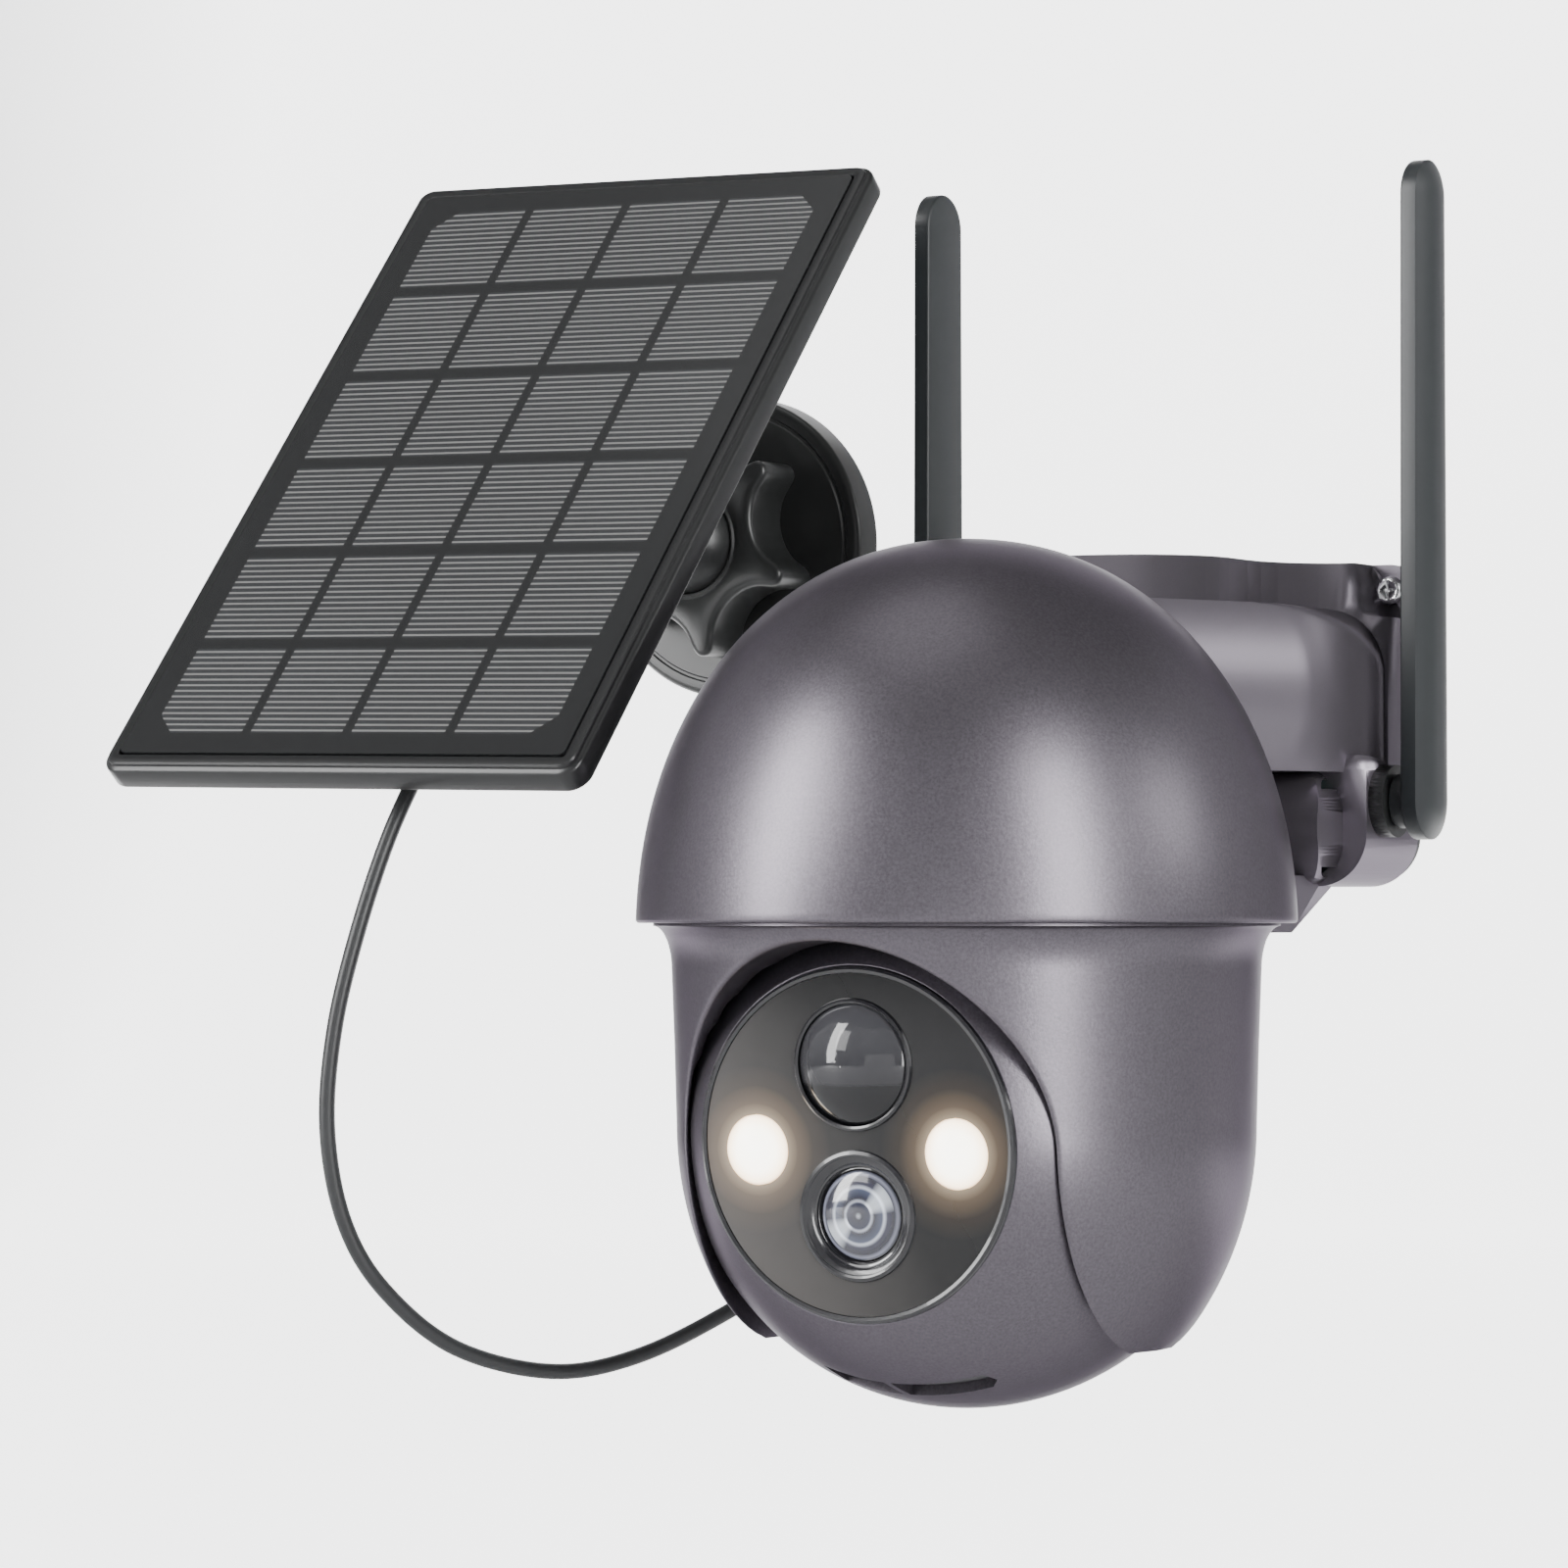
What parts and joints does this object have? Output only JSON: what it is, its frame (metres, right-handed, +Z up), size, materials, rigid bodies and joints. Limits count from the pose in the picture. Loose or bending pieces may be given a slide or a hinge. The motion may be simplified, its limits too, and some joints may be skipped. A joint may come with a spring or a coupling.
{
  "type": "solar security camera",
  "caption": "Wall-mounted pan and tilt security camera with a domed hood, folding antennas and a separate solar panel on a ball joint, joined by a cord.",
  "frame": {"origin": "centre of the camera's wall plate, on the wall", "axes": "+Z up, +Y into the wall, the camera's front faces -Y, +X to the camera's left as it looks out"},
  "size_m": [0.2242, 0.165, 0.2383],
  "materials": {
    "shell": "satin metallic grey",
    "dark_plastic": "satin dark grey",
    "black_plastic": "gloss",
    "steel": "polished",
    "motor_can": "satin",
    "circuit_board": "satin",
    "acetal": "satin",
    "battery_sleeve": "gloss",
    "cells": "gloss",
    "clear_cover": "gloss",
    "lens": "gloss",
    "led_white": "gloss",
    "cord_jacket": "matt"
  },
  "bodies": {
    "root": {"wall_plate": "dark_plastic", "bracket_housing": "shell", "housing_screws": "steel", "battery_door": "shell", "battery_cell": "battery_sleeve", "battery_springs": "steel", "charge_board": "circuit_board", "power_port": "black_plastic", "hood": "shell", "hood_base": "dark_plastic", "hood_screws": "steel", "pan_bush": "acetal", "pan_motor": "motor_can", "modem_board": "circuit_board", "antenna_sockets": "dark_plastic", "solar_base": "dark_plastic", "solar_base_cover": "dark_plastic", "ball_socket": "dark_plastic", "power_cord": "cord_jacket", "cord_plug": "cord_jacket"},
    "yoke": {"yoke_shell": "shell", "turntable": "dark_plastic", "pan_gear": "acetal", "hub_collar": "steel", "tilt_trunnions": "steel", "tilt_gear": "acetal"},
    "pan_pinion_body": {"pan_pinion": "acetal"},
    "head": {"head_front_shell": "shell", "head_rear_shell": "shell", "face_plate": "black_plastic", "face_bezel": "black_plastic", "pir_lens": "black_plastic", "pir_sensor": "motor_can", "lens_barrel": "black_plastic", "lens_glass": "lens", "image_board": "circuit_board", "led_lenses": "led_white", "led_board": "circuit_board", "head_board": "circuit_board", "speaker": "dark_plastic", "speaker_grille": "dark_plastic", "tilt_motor": "motor_can", "tilt_bushes": "acetal"},
    "tilt_pinion_body": {"tilt_pinion": "acetal"},
    "left_antenna": {"antenna_left": "dark_plastic"},
    "right_antenna": {"antenna_right": "dark_plastic"},
    "nut": {"clamp_nut": "dark_plastic"},
    "liner": {"ball_liner": "black_plastic"},
    "panel": {"ball_stud": "dark_plastic", "panel_frame": "dark_plastic", "solar_cells": "cells", "panel_glass": "clear_cover", "panel_back": "dark_plastic", "junction_box": "dark_plastic", "cord_gland": "black_plastic"}
  },
  "joints": [
    {"name": "pan", "type": "hinge", "parent": "root", "child": "yoke", "pos_m": [0, -0.105, -0.038], "axis": [0, 0, 1], "range_deg": [-170, 170]},
    {"name": "pan_motor_shaft", "type": "hinge", "parent": "root", "child": "pan_pinion_body", "pos_m": [0, -0.133, -0.019], "axis": [0, 0, 1], "range_deg": [-700, 700]},
    {"name": "tilt", "type": "hinge", "parent": "yoke", "child": "head", "pos_m": [0, -0.105, -0.0743], "axis": [1, 0, 0], "range_deg": [-20, 80]},
    {"name": "tilt_motor_shaft", "type": "hinge", "parent": "head", "child": "tilt_pinion_body", "pos_m": [0, -0.08883, -0.07328], "axis": [1, 0, 0], "range_deg": [-70, 240]},
    {"name": "left_antenna_hinge", "type": "hinge", "parent": "root", "child": "left_antenna", "pos_m": [-0.053, -0.0194, -0.0148], "axis": [1, 0, 0], "range_deg": [-4, 2]},
    {"name": "right_antenna_hinge", "type": "hinge", "parent": "root", "child": "right_antenna", "pos_m": [0.053, -0.0194, -0.0148], "axis": [1, 0, 0], "range_deg": [-4, 60]},
    {"name": "nut_turn", "type": "hinge", "parent": "root", "child": "nut", "pos_m": [-0.1082, -0.0205, 0.0394], "axis": [0, 1, 0], "range_deg": [-60, 60]},
    {"name": "panel_swing", "type": "hinge", "parent": "root", "child": "liner", "pos_m": [-0.1082, -0.0205, 0.0394], "axis": [0, 0, 1], "range_deg": [-30, 1], "deforming": ["power_cord"]},
    {"name": "panel_tilt", "type": "hinge", "parent": "liner", "child": "panel", "pos_m": [-0.1082, -0.0205, 0.0394], "axis": [1, 0, 0], "range_deg": [-6, 4], "deforming": ["power_cord"]}
  ],
  "couplings": [
    {"joint": "pan_motor_shaft", "follows": "pan", "ratio": -4},
    {"joint": "tilt_motor_shaft", "follows": "tilt", "ratio": 2.8571}
  ]
}
